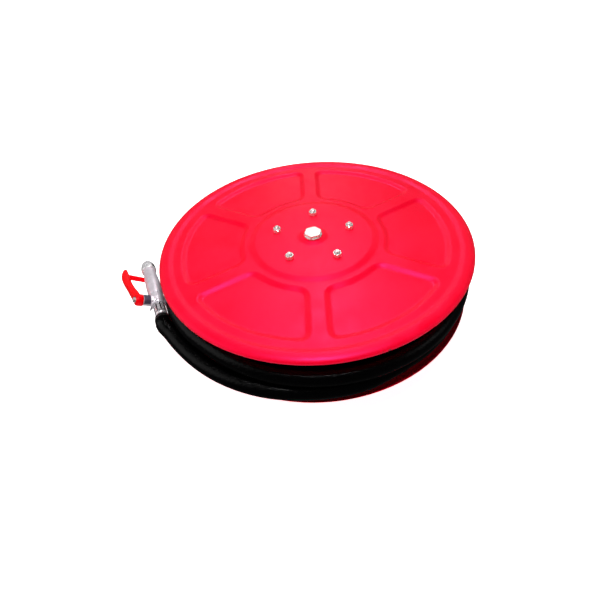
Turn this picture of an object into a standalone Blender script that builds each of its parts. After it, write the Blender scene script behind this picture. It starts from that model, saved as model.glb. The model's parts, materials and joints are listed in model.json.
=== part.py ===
"""Fire hose reel, lying on its back plate with the reel axis along +Z.

Origin: centre of the back face of the wall plate.  Sizes are in millimetres
in this file and are written to the scene in metres.

Bodies: the bracket (plate, spindle, axle bolt) stays still; the drum (two
embossed discs, core, hub, hose and nozzle) turns on the spindle; the shut-off
lever turns on the nozzle; the spray tip twists on the barrel.
"""
import bpy
import bmesh
import math
from mathutils import Matrix, Vector

for old in list(bpy.data.objects):
    bpy.data.objects.remove(old, do_unlink=True)

MM = 0.001

# ------------------------------------------------------------ driving sizes
DISC_R = 275.0            # disc radius, 550 mm across
Z_FRONT = 155.0           # crest of the front disc's rim bead
Z_REAR = 47.0             # crest of the rear disc's rim bead
SHEET = 1.5               # disc sheet
HUB_RISE = 0.3            # hub zone above the bead crest
LIP_RISE = 3.6            # lip round the axle above the bead crest
LAND_DROP = 3.0           # spokes and land ring below the bead crest
PANEL_DROP = 8.5          # floor of the six pressed panels
SPOKE_HALF = 15.7         # half width of a spoke at mid slope
SLOPE_HALF = 3.3          # half width of a panel's slope
PANEL_R0, PANEL_R1 = 129.0, 232.0
BOLT_CIRCLE = 68.6        # radius of the five tie bolts
BOLT_ANGLES = [88.1, 16.1, -55.9, -127.9, 160.1]
CORE_R = 105.0            # outside of the core tube
HOSE_R = 14.0             # hose outside radius, 19 mm bore
HOSE_BORE = 9.9
ROW_Z = [129.5, 101.0, 72.5]
PACK_LAYER_R = [231.0, 231.0, 226.5]   # centre radius of the outer layer, per row
PACK_R0 = 107.0
PLATE = 200.0
PLATE_T = 5.0
SHAFT_R = 18.0
NECK_R = 14.0
INLET_Z = 25.3            # height of the inlet port's axis
INLET_BORE = 16.6         # G1 female
INLET_FACE = 58.0
OUTLET_ANGLE = 52.1       # hub outlet, half way between two tie bolts
OUTLET_Z = 101.0
ELBOW_D = 77.0            # distance of the inner hose from the reel axis

# nozzle frame: a along the barrel, b out along the valve stem, n = a x b
NOZZLE_YAW = math.radians(112.2)
NOZZLE_ROLL = math.radians(29.6)
NOZZLE_D = 290.6          # distance of the barrel from the reel axis
NOZZLE_U = 26.2           # valve pivot past the nearest point
NOZZLE_Z = Z_FRONT - 50.0
HOSE_END = -52.0          # end of the hose, along a
SHANK_END = -42.0         # back of the ribbed part of the hose tail

# free hose, from the pack to the nozzle: angle, radius, height under the
# front bead crest
LEAD = [
    (50, 260.5, -54), (12, 260.5, -54), (-25, 261, -54), (-60, 263, -54), (-100, 263.5, -52),
    (-130, 264.5, -40), (-140, 265.5, -35.5), (-150, 265, -31), (-158, 262, -28.5), (-168, 260.5, -27.3), (-187, 260.5, -27), (-212, 260.5, -35),
    (-245, 260.5, -57), (-278, 257.5, -80), (-305, 256.5, -82.5), (-360, 256.5, -82.5),
    (-416, 255.8, -82.5), (-425, 257.8, -82.5), (-435, 262.4, -82.5), (-445, 265.7, -82.3),
    (-455, 268, -82), (-467, 272.3, -81), (-475, 275.3, -79.5), (-485, 279.3, -76),
    (-494, 283.2, -69), (-503, 286.8, -60), (-509, 289, -54),
]

# ---------------------------------------------------------------- materials
MATERIALS = {
    "red_paint": ((0.80, 0.012, 0.045), 0.38, 0.0),
    "lever_red": ((0.80, 0.01, 0.01), 0.35, 0.0),
    "zinc_steel": ((0.74, 0.73, 0.70), 0.32, 1.0),
    "brass": ((0.62, 0.45, 0.18), 0.30, 1.0),
    "cast_aluminium": ((0.66, 0.67, 0.69), 0.42, 1.0),
    "hose_rubber": ((0.012, 0.012, 0.013), 0.55, 0.0),
    "nylon": ((0.82, 0.80, 0.74), 0.50, 0.0),
    "seal_rubber": ((0.02, 0.02, 0.02), 0.60, 0.0),
}


def make_material(name, key):
    rgb, rough, metal = MATERIALS[key]
    m = bpy.data.materials.new(name)
    m.use_nodes = True
    p = m.node_tree.nodes["Principled BSDF"]
    p.inputs["Base Color"].default_value = (*rgb, 1.0)
    p.inputs["Roughness"].default_value = rough
    p.inputs["Metallic"].default_value = metal
    m.diffuse_color = (*rgb, 1.0)
    return m


# ------------------------------------------------------------------ helpers
def finish(name, bm, key, parent=None):
    """Write a bmesh in millimetres as a named object."""
    for v in bm.verts:
        v.co *= MM
    bmesh.ops.recalc_face_normals(bm, faces=bm.faces)
    me = bpy.data.meshes.new(name)
    bm.to_mesh(me)
    bm.free()
    for p in me.polygons:
        p.use_smooth = False
    me.materials.append(make_material(name + "_finish", key))
    ob = bpy.data.objects.new(name, me)
    bpy.context.scene.collection.objects.link(ob)
    if parent is not None:
        ob.parent = parent
    return ob


def boolean(bm_a, bm_b, op="DIFFERENCE"):
    """Exact Boolean of two closed meshes; both are used up."""
    obs = []
    for i, bm in enumerate((bm_a, bm_b)):
        bmesh.ops.recalc_face_normals(bm, faces=bm.faces)
        me = bpy.data.meshes.new("tmp%d" % i)
        bm.to_mesh(me)
        bm.free()
        ob = bpy.data.objects.new("tmp%d" % i, me)
        bpy.context.scene.collection.objects.link(ob)
        obs.append(ob)
    mod = obs[0].modifiers.new("cut", "BOOLEAN")
    mod.operation = op
    mod.solver = "EXACT"
    mod.object = obs[1]
    dg = bpy.context.evaluated_depsgraph_get()
    dg.update()
    me = bpy.data.meshes.new_from_object(obs[0].evaluated_get(dg))
    out = bmesh.new()
    out.from_mesh(me)
    bpy.data.meshes.remove(me)
    for ob in obs:
        old = ob.data
        bpy.data.objects.remove(ob, do_unlink=True)
        bpy.data.meshes.remove(old)
    return out


AXES = {
    "Z": lambda r, s, c, n: (r * c, r * n, s),
    "X": lambda r, s, c, n: (s, r * c, r * n),
    "Y": lambda r, s, c, n: (r * n, s, r * c),
}


def lathe(profile, seg, axis="Z", phase=0.0):
    """Turn a closed loop of (radius, station) into a solid."""
    bm = bmesh.new()
    place = AXES[axis]
    rings = []
    for r, s in profile:
        if r < 1e-6:
            rings.append([bm.verts.new(place(0.0, s, 1.0, 0.0))])
        else:
            rings.append([bm.verts.new(place(r, s, math.cos(phase + 2 * math.pi * k / seg),
                                             math.sin(phase + 2 * math.pi * k / seg)))
                          for k in range(seg)])
    for i in range(len(rings)):
        a, b = rings[i], rings[(i + 1) % len(rings)]
        if len(a) == 1 and len(b) == 1:
            continue
        for k in range(seg):
            k2 = (k + 1) % seg
            if len(a) == 1:
                bm.faces.new((a[0], b[k], b[k2]))
            elif len(b) == 1:
                bm.faces.new((a[k], b[0], a[k2]))
            else:
                bm.faces.new((a[k], b[k], b[k2], a[k2]))
    bmesh.ops.recalc_face_normals(bm, faces=bm.faces)
    return bm


def rod(r, s0, s1, seg, axis="Z", phase=0.0):
    return lathe([(0, s0), (r, s0), (r, s1), (0, s1)], seg, axis, phase)


def moved(bm, matrix):
    bmesh.ops.transform(bm, matrix=matrix, verts=bm.verts)
    return bm


def block(x0, x1, y0, y1, z0, z1):
    bm = bmesh.new()
    bmesh.ops.create_cube(bm, size=1.0)
    for v in bm.verts:
        v.co = Vector(((x0 + x1) / 2 + v.co.x * (x1 - x0),
                       (y0 + y1) / 2 + v.co.y * (y1 - y0),
                       (z0 + z1) / 2 + v.co.z * (z1 - z0)))
    return bm


def axis_matrix(origin, direction):
    """Matrix whose local Z runs along direction from origin."""
    z = Vector(direction).normalized()
    q = Vector((0, 0, 1)).rotation_difference(z)
    return Matrix.Translation(Vector(origin)) @ q.to_matrix().to_4x4()


def tangents(path):
    out = []
    for i in range(len(path)):
        a = path[max(i - 1, 0)]
        b = path[min(i + 1, len(path) - 1)]
        out.append((b - a).normalized())
    return out


def ring_frames(path, tang, side):
    """Cross-section axes along a path, kept level with a side vector."""
    out = []
    for t in tang:
        u = (side - t * side.dot(t)).normalized()
        out.append((u, t.cross(u)))
    return out


def sweep(path, radii, seg, side, bore=None, tang=None, phase=0.0):
    """Round bar along a path; with a bore it is an open tube."""
    tang = tang or tangents(path)
    fr = ring_frames(path, tang, side)
    bm = bmesh.new()

    def skin(rr):
        rings = []
        for p, (u, w), r in zip(path, fr, rr):
            rings.append([bm.verts.new(p + u * (r * math.cos(phase + 2 * math.pi * k / seg))
                                       + w * (r * math.sin(phase + 2 * math.pi * k / seg)))
                          for k in range(seg)])
        for a, b in zip(rings, rings[1:]):
            for k in range(seg):
                bm.faces.new((a[k], a[(k + 1) % seg], b[(k + 1) % seg], b[k]))
        return rings[0], rings[-1]

    o0, o1 = skin(radii)
    if bore is None:
        bm.faces.new(o0)
        bm.faces.new(o1)
    else:
        i0, i1 = skin(bore)
        for o, i in ((o0, i0), (o1, i1)):
            for k in range(seg):
                bm.faces.new((o[k], o[(k + 1) % seg], i[(k + 1) % seg], i[k]))
    bmesh.ops.recalc_face_normals(bm, faces=bm.faces)
    return bm


def monotone(keys, x):
    """Monotone cubic through (x, y) keys, x falling."""
    xs = [-k[0] for k in keys]
    ys = [k[1] for k in keys]
    x = -x
    n = len(xs)
    d = [(ys[i + 1] - ys[i]) / (xs[i + 1] - xs[i]) for i in range(n - 1)]
    m = [d[0]] + [0.0 if d[i - 1] * d[i] <= 0 else 2 * d[i - 1] * d[i] / (d[i - 1] + d[i])
                  for i in range(1, n - 1)] + [d[-1]]
    i = max(0, min(n - 2, max([j for j in range(n) if xs[j] <= x + 1e-9] or [0])))
    h = xs[i + 1] - xs[i]
    t = (x - xs[i]) / h
    return ((2 * t ** 3 - 3 * t ** 2 + 1) * ys[i] + (t ** 3 - 2 * t ** 2 + t) * h * m[i]
            + (-2 * t ** 3 + 3 * t ** 2) * ys[i + 1] + (t ** 3 - t ** 2) * h * m[i + 1])


def polar(r, deg, z):
    a = math.radians(deg)
    return Vector((r * math.cos(a), r * math.sin(a), z))


# ------------------------------------------------------------------ parents
def empty(name, matrix, parent=None):
    e = bpy.data.objects.new(name, None)
    e.empty_display_size = 0.03
    bpy.context.scene.collection.objects.link(e)
    e.parent = parent
    e.matrix_world = matrix
    return e


bracket = empty("bracket_frame", Matrix.Identity(4))
drum = empty("drum_axis", Matrix.Identity(4))
A = Vector((math.cos(NOZZLE_YAW), math.sin(NOZZLE_YAW), 0.0))
LEFT = Vector((-math.sin(NOZZLE_YAW), math.cos(NOZZLE_YAW), 0.0))
UP = Vector((0, 0, 1))
B = LEFT * math.cos(NOZZLE_ROLL) + UP * math.sin(NOZZLE_ROLL)
N = A.cross(B)
PIVOT = LEFT * NOZZLE_D + A * NOZZLE_U + UP * NOZZLE_Z
NM = Matrix((
    (A.x, B.x, N.x, PIVOT.x * MM),
    (A.y, B.y, N.y, PIVOT.y * MM),
    (A.z, B.z, N.z, PIVOT.z * MM),
    (0, 0, 0, 1)))
nozzle = empty("nozzle_axis", NM)
lever_axis = empty("lever_axis", NM)
tip_axis = empty("tip_axis", NM)
for child in (nozzle, lever_axis, tip_axis):
    world = child.matrix_world.copy()
    child.parent = drum
    child.matrix_world = world
bpy.context.view_layer.update()

# ------------------------------------------------------------------ bracket
# wall plate with rounded corners and a screw hole near each corner
bm = block(-PLATE / 2, PLATE / 2, -PLATE / 2, PLATE / 2, 0, PLATE_T)
corner_edges = [e for e in bm.edges if abs(e.verts[0].co.z - e.verts[1].co.z) > 1]
bmesh.ops.bevel(bm, geom=corner_edges, offset=16, segments=3, profile=0.5, affect="EDGES")
for sx in (-1, 1):
    for sy in (-1, 1):
        bm = boolean(bm, moved(rod(5.5, -2, PLATE_T + 2, 10), Matrix.Translation((sx * 82, sy * 82, 0))))
        bm = boolean(bm, moved(rod(4.7, -2, PLATE_T + 2, 8), Matrix.Translation((sx * 30, sy * 30, 0))))
finish("mount_plate", bm, "red_paint", bracket)

# spindle: flange, radial inlet socket, shaft with two seal grooves, tapped top
bm = lathe([(0, PLATE_T + 0.3), (54, PLATE_T + 0.3), (55, PLATE_T + 1.3), (55, 12), (53.5, 13.5), (28, 14.5),
            (26, 17), (26, 45.6), (SHAFT_R, 45.6), (SHAFT_R, 82), (15, 82), (15, 86), (SHAFT_R, 86),
            (SHAFT_R, 116), (15, 116), (15, 120), (SHAFT_R, 120), (SHAFT_R, 138), (NECK_R, 138),
            (NECK_R, 159.0), (0, 159.0)], 24)
bm = boolean(bm, moved(rod(19.5, 0, INLET_FACE, 20), axis_matrix((0, 0, INLET_Z), (0, -1, 0))), "UNION")
bm = boolean(bm, moved(lathe([(0, 31), (10, 31), (INLET_BORE, 34), (INLET_BORE, INLET_FACE + 3),
                              (0, INLET_FACE + 3)], 20, phase=0.0),
                       axis_matrix((0, 0, INLET_Z), (0, -1, 0))))
bm = boolean(bm, rod(8.5, 127, 162, 12))
for sx in (-1, 1):
    for sy in (-1, 1):
        bm = boolean(bm, moved(rod(4.7, -2, 30, 8), Matrix.Translation((sx * 30, sy * 30, 0))))
finish("spindle", bm, "brass", bracket)

n = 0
for sx in (-1, 1):
    for sy in (-1, 1):
        n += 1
        bm = lathe([(0, 0.8), (4.0, 0.8), (4.0, 14.2), (6.5, 14.2), (6.5, 20.6), (5.9, 21.2), (3.6, 21.2),
                    (3.6, 17.6), (0, 17.6)], 12)
        finish("flange_screw_%d" % n, moved(bm, Matrix.Translation((sx * 30, sy * 30, 0))), "zinc_steel", bracket)

bm = lathe([(8.7, 159.3), (16, 159.3), (16, 161.2), (15.6, 161.6), (8.7, 161.6)], 24)
finish("axle_washer", bm, "zinc_steel", bracket)

HEX_R = 13.5 / math.cos(math.pi / 6)
bm = lathe([(0, 161.9), (HEX_R, 161.9), (HEX_R, 165.7), (13.0, 166.3), (0, 166.3)], 6, phase=math.radians(15))
bm = boolean(bm, rod(7.8, 132, 163.5, 12), "UNION")
finish("axle_bolt", bm, "zinc_steel", bracket)


def o_ring(name, r, z, minor, parent, axis="Z", seg=20):
    loop = [(r + minor * math.cos(math.radians(60 * k + 30)), z + minor * math.sin(math.radians(60 * k + 30)))
            for k in range(6)]
    finish(name, lathe(loop, seg, axis), "seal_rubber", parent)


o_ring("o_ring_rear", 16.75, 84, 1.3, bracket, seg=24)
o_ring("o_ring_front", 16.75, 118, 1.3, bracket, seg=24)

# --------------------------------------------------------------------- drum
RIM = [(248.0, -LAND_DROP), (254.5, -1.0), (260.0, 0.0), (267.5, -2.2), (DISC_R, -7.0)]


def disc_bm(crest, up, hole_r):
    """Pressed sheet disc: flat hub, six sunk panels, raised rim bead."""
    cols = []
    for s in range(6):
        c = -90 + 60 * s
        cols += [(c, 0, 0), (c, 1, 1), (c, 1, 0), (c, 2, 0.25), (c, 2, 0.5), (c, 2, 0.75)]
        cols += [(c + 60, -1, 0), (c + 60, -1, 1)]
    rows = [(hole_r, "lip"), (26.0, "hub")] if up > 0 else [(hole_r, "hub")]
    rows += [(CORE_R + 0.5, "hub"), (115.0, "land"),
            (PANEL_R0 - SLOPE_HALF, "land"), (PANEL_R0 + SLOPE_HALF, "panel"),
            (PANEL_R1 - SLOPE_HALF, "panel"), (PANEL_R1 + SLOPE_HALF, "land")] + [(r, h) for r, h in RIM]
    bm = bmesh.new()
    skins = []
    for t in (0.0, SHEET):
        skin = []
        for r, kind in rows:
            ra = min(max(r, PANEL_R0 - SLOPE_HALF), PANEL_R1 + SLOPE_HALF)
            top = math.degrees(math.asin((SPOKE_HALF - SLOPE_HALF) / ra))
            low = math.degrees(math.asin((SPOKE_HALF + SLOPE_HALF) / ra))
            ring = []
            for c, side, k in cols:
                if side == 0:
                    ang, sunk = c, False
                elif side == 2:
                    ang, sunk = c + low + (60 - 2 * low) * k, True
                else:
                    ang, sunk = c + side * (top if k == 1 else low), k == 0
                if r >= RIM[0][0]:
                    ang = -90 + 7.5 * len(ring)
                if kind == "lip":
                    h = LIP_RISE
                elif kind == "hub":
                    h = HUB_RISE
                elif kind == "land":
                    h = -LAND_DROP
                elif kind == "panel":
                    h = -PANEL_DROP if sunk else -LAND_DROP
                else:
                    h = kind
                rr = r - (1.0 if (t > 0 and r >= DISC_R) else 0.0)
                z = crest + up * (h - t)
                a = math.radians(ang)
                ring.append(bm.verts.new((rr * math.cos(a), rr * math.sin(a), z)))
            skin.append(ring)
        skins.append(skin)
    n = len(cols)
    for skin in skins:
        for a, b in zip(skin, skin[1:]):
            for k in range(n):
                bm.faces.new((a[k], a[(k + 1) % n], b[(k + 1) % n], b[k]))
    for i in (0, -1):
        a, b = skins[0][i], skins[1][i]
        for k in range(n):
            bm.faces.new((a[k], a[(k + 1) % n], b[(k + 1) % n], b[k]))
    bmesh.ops.recalc_face_normals(bm, faces=bm.faces)
    return bm


def drill_bolts(bm, r, z0, z1):
    for i, ang in enumerate(BOLT_ANGLES):
        p = polar(BOLT_CIRCLE, ang, 0)
        bm = boolean(bm, moved(rod(r, z0, z1, 8), Matrix.Translation(p)))
    return bm


finish("front_disc", drill_bolts(disc_bm(Z_FRONT, 1, 14.9), 4.7, 140, 170), "red_paint", drum)
finish("rear_disc", drill_bolts(disc_bm(Z_REAR, -1, 27.2), 4.7, 35, 60), "red_paint", drum)

# hub: two flanges, waist, water chamber, offset outlet boss
bm = lathe([(22.5, 48.5), (79, 48.5), (80, 49.5), (80, 53.5), (79, 54.5), (36, 56), (30, 62), (30, 140),
            (36, 146), (79, 147.5), (80, 148.5), (80, 152.5), (79, 153.5), (18.5, 153.5), (18.5, 109),
            (23.5, 109), (23.5, 93), (18.5, 93), (18.5, 66.5), (22.5, 66.5)], 24)
out_dir = Vector((math.cos(math.radians(OUTLET_ANGLE)), math.sin(math.radians(OUTLET_ANGLE)), 0))
out_side = Vector((-out_dir.y, out_dir.x, 0))
bm = boolean(bm, moved(rod(15, 26.5, 46, 20, phase=0.07), axis_matrix((0, 0, OUTLET_Z), out_dir)), "UNION")
bm = boolean(bm, moved(rod(10.8, 21.5, 50, 12), axis_matrix((0, 0, OUTLET_Z), out_dir)))
bm = drill_bolts(bm, 4.7, 40, 165)
finish("hub", bm, "cast_aluminium", drum)

finish("bush_rear", lathe([(18.5, 45.95), (26, 45.95), (26, 48.2), (22.1, 48.2), (22.1, 66), (18.5, 66)], 24),
       "nylon", drum)
finish("bush_front", lathe([(14.5, 138.6), (18.1, 138.6), (18.1, 153.2), (14.5, 153.2)], 24), "nylon", drum)

# outlet elbow: spigot in the hub, collar, bend, barb for the hose
elbow_path, elbow_r, elbow_t = [], [], []


def station(point, direction, *radii):
    for r in radii:
        elbow_path.append(point)
        elbow_r.append(r)
        elbow_t.append(direction)


O = Vector((0, 0, OUTLET_Z))
station(O + out_dir * 34, out_dir, 10.0)
station(O + out_dir * 46.4, out_dir, 10.0, 14.0)
station(O + out_dir * 52, out_dir, 14.0, 11.0)
station(O + out_dir * (ELBOW_D - 13), out_dir, 11.0)
for k in range(1, 4):
    t = math.radians(22.5 * k)
    station(O + out_dir * (ELBOW_D - 13 + 13 * math.sin(t)) + out_side * (13 - 13 * math.cos(t)),
            out_dir * math.cos(t) + out_side * math.sin(t), 11.0)
station(O + out_dir * ELBOW_D + out_side * 13, out_side, 11.0)
station(O + out_dir * ELBOW_D + out_side * 17, out_side, 11.0, 9.2)
station(O + out_dir * ELBOW_D + out_side * 44, out_side, 9.2)
path = elbow_path
bm = sweep(path, elbow_r, 12, Vector((0, 0, 1)), bore=[7.0] * len(path), tang=elbow_t)
# the two stations that share a point leave a flat collar face, not a fold
finish("outlet_elbow", bm, "brass", drum)

# inner end of the hose, from the elbow's barb to the core wall
hose_dir = axis_matrix(O + out_dir * ELBOW_D, out_side)
bm = moved(lathe([(9.7, 17.5), (HOSE_R, 17.5), (HOSE_R, 130), (9.7, 130)], 16, phase=0.0), hose_dir)
bm = boolean(bm, rod(106.3, 60, 140, 64), "INTERSECT")
finish("hose_inner", bm, "hose_rubber", drum)
bm = moved(lathe([(14.7, 23), (16.3, 23), (16.3, 33), (14.7, 33)], 20), hose_dir)
bm = boolean(bm, moved(block(-5, 5, -21.5, -15.4, 23.5, 32.5), hose_dir @ Matrix.Rotation(math.pi / 2, 4, "Z")), "UNION")
finish("hose_clamp", bm, "zinc_steel", drum)

# core tube with the slot that the hose leaves through
bm = lathe([(CORE_R - 1.5, 48.5), (CORE_R, 48.5), (CORE_R, 153.5), (CORE_R - 1.5, 153.5)], 48)
bm = boolean(bm, moved(rod(15.6, 26, 130, 16), hose_dir))
finish("core_drum", bm, "red_paint", drum)

# wound hose: five layers of three rows, outer layer showing as three ridges
loop = [(PACK_R0, ROW_Z[0] + HOSE_R)]
for zc, rc in zip(ROW_Z, PACK_LAYER_R):
    for a in (82, 45, 0, -45, -82):
        loop.append((rc + HOSE_R * math.cos(math.radians(a)), zc + HOSE_R * math.sin(math.radians(a))))
loop.append((PACK_R0, ROW_Z[-1] - HOSE_R))
finish("hose_pack", lathe(loop, 36), "hose_rubber", drum)

# outer turns of hose, leaving the pack and running out to the nozzle
lead = []
ang = LEAD[0][0]
while ang > LEAD[-1][0] + 0.01:
    lead.append(polar(monotone([(k[0], k[1]) for k in LEAD], ang), ang,
                      Z_FRONT + monotone([(k[0], k[2]) for k in LEAD], ang)))
    ang -= 8.0
lead.append(polar(LEAD[-1][1], LEAD[-1][0], Z_FRONT + LEAD[-1][2]))
end = PIVOT + A * HOSE_END
for k in (9, 0):
    lead.append(end - A * k)
SIDE = Vector((0, 0, 1))
lead_t = tangents(lead)
lead_t[-1] = A.copy()
lead_r = [HOSE_R] * (len(lead) - 2) + [13.7, 13.3]
bm = sweep(lead, lead_r, 10, SIDE, tang=lead_t)
bore = moved(rod(HOSE_BORE, -15, 4, 12), axis_matrix(end, A))
finish("hose_lead", boolean(bm, bore), "hose_rubber", drum)

# ------------------------------------------------------- nozzle, local frame
# rubber cuff over the joint of hose and tail
finish("hose_sleeve", lathe([(10.0, HOSE_END + 0.5), (13.4, HOSE_END + 0.5), (13.2, HOSE_END + 3), (11.9, SHANK_END - 1.4),
                             (11.4, SHANK_END - 0.4), (10.0, SHANK_END - 0.4)], 20, "X"), "seal_rubber", nozzle)

# hose tail: ribbed grip, shank under the cuff, barb inside the hose
tail = [(6.5, HOSE_END - 12), (8.6, HOSE_END - 12), (9.2, HOSE_END - 9), (9.2, HOSE_END + 0.2), (9.5, HOSE_END + 0.4),
        (9.5, SHANK_END)]
for k in range(4):
    s = SHANK_END + 7.0 * k
    tail += [(10.2, s + 0.5), (10.2, s + 4.5), (9.3, s + 5.5)]
tail += [(9.3, -13.2), (10.4, -12.4), (7.9, -12.4), (7.9, -9.9), (6.5, -9.9)]
finish("hose_tail", lathe(tail, 16, "X"), "cast_aluminium", nozzle)

# ball-valve body: outside, stem boss and stop lug, then the cavities
bm = lathe([(0, -12), (11.2, -12), (11.9, -11.4), (11.9, -8.6), (11.1, -7.8), (12.3, -2), (12.6, 4), (12.5, 14),
            (0, 14)], 20, "X")
bm = boolean(bm, lathe([(0, 3), (9.6, 3), (9.6, 24.8), (9.1, 25.3), (0, 25.3)], 20, "Y", phase=0.05), "UNION")
lug = moved(lathe([(0, -2), (2.6, -2), (2.2, 4), (1.1, 8.5), (0, 9.3)], 8),
            axis_matrix((-5.0, 8.0, -8.0), (-0.38, 0.30, -0.87)))
bm = boolean(bm, lug, "UNION")
bm = boolean(bm, lathe([(0, -15), (8.3, -15), (8.3, -9.5), (10.2, -9.5), (10.2, 17), (0, 17)], 20, "X", phase=0.03))
bm = boolean(bm, lathe([(0, 0), (4.5, 0), (4.5, 19.6), (6.4, 19.6), (6.4, 28), (0, 28)], 16, "Y"))
finish("nozzle_body", bm, "cast_aluminium", nozzle)

# barrel: threaded spigot, long taper, spigot for the tip with a seal groove
bm = lathe([(5.5, 9.9), (9.7, 9.9), (9.7, 14.3), (12.5, 14.3), (12.9, 24), (13.1, 36), (13.1, 46), (12.8, 55),
            (12.3, 63), (11.8, 70), (11.2, 77), (10.8, 83), (10.7, 85), (7.6, 85), (7.6, 93), (6.5, 93), (6.5, 95.4), (7.6, 95.4), (7.6, 99.5),
            (5.5, 99.5)], 20, "X")
finish("nozzle_barrel", bm, "cast_aluminium", nozzle)
o_ring("tip_o_ring", 7.35, 94.2, 0.62, nozzle, "X", 16)

finish("seat_rear", lathe([(5.7, -9.2), (9.7, -9.2), (9.7, -6.9), (5.7, -6.9)], 16, "X"), "nylon", nozzle)
finish("seat_front", lathe([(5.7, 6.9), (9.7, 6.9), (9.7, 9.5), (5.7, 9.5)], 16, "X"), "nylon", nozzle)
finish("stem_seal", lathe([(4.4, 20), (6.0, 20), (6.0, 24.4), (4.4, 24.4)], 16, "Y"), "seal_rubber", nozzle)

# tip: long round collar running into a domed nose with the jet orifice
bm = lathe([(8.1, 85.4), (12.3, 85.4), (13.2, 86.4), (13.5, 90), (13.3, 96), (12.5, 100.4), (11.3, 104.6), (9.8, 108.8),
            (8.4, 110.4), (4.2, 110.4), (3.2, 108.4), (5.2, 100.2), (8.1, 99.9)], 20, "X")
finish("spray_tip", bm, "cast_aluminium", tip_axis)

# ball with its bore across the flow (closed) and a slot for the stem
bm = bmesh.new()
bmesh.ops.create_uvsphere(bm, u_segments=16, v_segments=8, radius=8.5)
bm = boolean(bm, rod(5.0, -12, 12, 16))
bm = boolean(bm, block(-8.6, 8.6, 5.6, 9, -1.6, 1.6))
finish("valve_ball", bm, "zinc_steel", lever_axis)

# stem: tongue, round shaft, square end with a tapped hole
bm = lathe([(0, 9.1), (4.0, 9.1), (4.0, 25.4), (0, 25.4)], 16, "Y")
bm = boolean(bm, block(-3.2, 3.2, 6.0, 10, -1.2, 1.2), "UNION")
bm = boolean(bm, block(-2.8, 2.8, 24, 36.5, -2.8, 2.8), "UNION")
bm = boolean(bm, rod(2.1, 27, 40, 10, "Y"))
finish("valve_stem", bm, "zinc_steel", lever_axis)

# lever: hub, leg bowed outwards and forward, crossbar under the barrel
leg = [Vector(p) for p in ((-3, 32.6, 0.5), (8, 33.6, -2.6), (24, 34.6, -6.4), (42, 37.1, -9.8), (60, 39.5, -12.4),
                           (76, 40.4, -14.0), (88, 40.0, -14.6), (97, 39.0, -14.8), (105.0, 37.2, -15.0))]
half_b = [5.2, 7.0, 7.6, 6.8, 7.0, 7.3, 6.6, 5.0, 2.4]
half_n = [7.0, 6.8, 6.0, 5.4, 5.0, 4.8, 4.6, 4.0, 2.6]
bm = bmesh.new()
rings = []
for p, t, hb, hn in zip(leg, tangents(leg), half_b, half_n):
    ub = (Vector((0, 1, 0)) - t * t.y).normalized()
    un = t.cross(ub)
    ring = []
    for k in range(12):
        a = math.radians(30 * k + 15)
        ca, sa = math.cos(a), math.sin(a)
        ring.append(bm.verts.new(p + ub * (hb * math.copysign(abs(ca) ** 0.55, ca))
                                 + un * (hn * math.copysign(abs(sa) ** 0.55, sa))))
    rings.append(ring)
for ra, rb in zip(rings, rings[1:]):
    for k in range(12):
        bm.faces.new((ra[k], ra[(k + 1) % 12], rb[(k + 1) % 12], rb[k]))
bm.faces.new(rings[0])
bm.faces.new(rings[-1])
bmesh.ops.recalc_face_normals(bm, faces=bm.faces)
bm = boolean(bm, lathe([(0, 26), (9.7, 26), (10.3, 26.6), (10.3, 34.2), (9.2, 37.4), (8.6, 38.0), (0, 38.0)], 20, "Y",
                       phase=0.04), "UNION")
bar = moved(lathe([(0, -9.0), (3.9, -9.0), (4.6, -8.0), (4.6, 14), (4.9, 34), (4.9, 38), (0, 38)], 12, "Y", phase=0.06),
            Matrix.Translation((80.1, 0, -16.3)) @ Matrix.Rotation(math.radians(-9.7), 4, "Z"))
bm = boolean(bm, bar, "UNION")
bm = boolean(bm, block(-3.2, 3.2, 24, 45, -3.2, 3.2))
bm = boolean(bm, rod(5.6, 36.6, 50, 16, "Y", phase=0.02))
finish("lever", bm, "lever_red", lever_axis)

bm = lathe([(0, 28.5), (1.75, 28.5), (1.75, 36.8), (5.2, 36.8), (5.2, 38.1), (3.4, 38.1), (3.4, 38.9), (4.8, 38.9),
            (4.8, 40.7), (3.6, 41.7), (0, 41.7)], 16, "Y")
bm = boolean(bm, block(-6, 6, 40.5, 43, -0.6, 0.6))
finish("lever_screw", bm, "zinc_steel", lever_axis)

# tie bolts through both discs and the hub, and their nuts on the front
M8_HEX = 6.5 / math.cos(math.pi / 6)
for i, ang in enumerate(BOLT_ANGLES):
    at = Matrix.Translation(polar(BOLT_CIRCLE, ang, 0))
    turn = math.radians(ang * 0.7 + 11 * i)
    bm = lathe([(0, 41.1), (6.9, 41.1), (M8_HEX, 41.7), (M8_HEX, 46.4), (0, 46.4)], 6, phase=turn)
    bm = boolean(bm, lathe([(0, 44), (3.9, 44), (3.9, 165.4), (3.1, 166.3), (0, 166.3)], 12), "UNION")
    finish("tie_bolt_%d" % (i + 1), moved(bm, at), "zinc_steel", drum)
    bm = lathe([(0, 155.6), (M8_HEX, 155.6), (M8_HEX, 161.6), (6.7, 162.2), (0, 162.2)], 6, phase=turn)
    bm = boolean(bm, rod(4.35, 150, 170, 12))
    finish("nut_%d" % (i + 1), moved(bm, at), "zinc_steel", drum)

bpy.context.view_layer.update()
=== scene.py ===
import bpy
import bmesh
import json
import math
import numpy as np
from mathutils import Matrix, Vector

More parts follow.
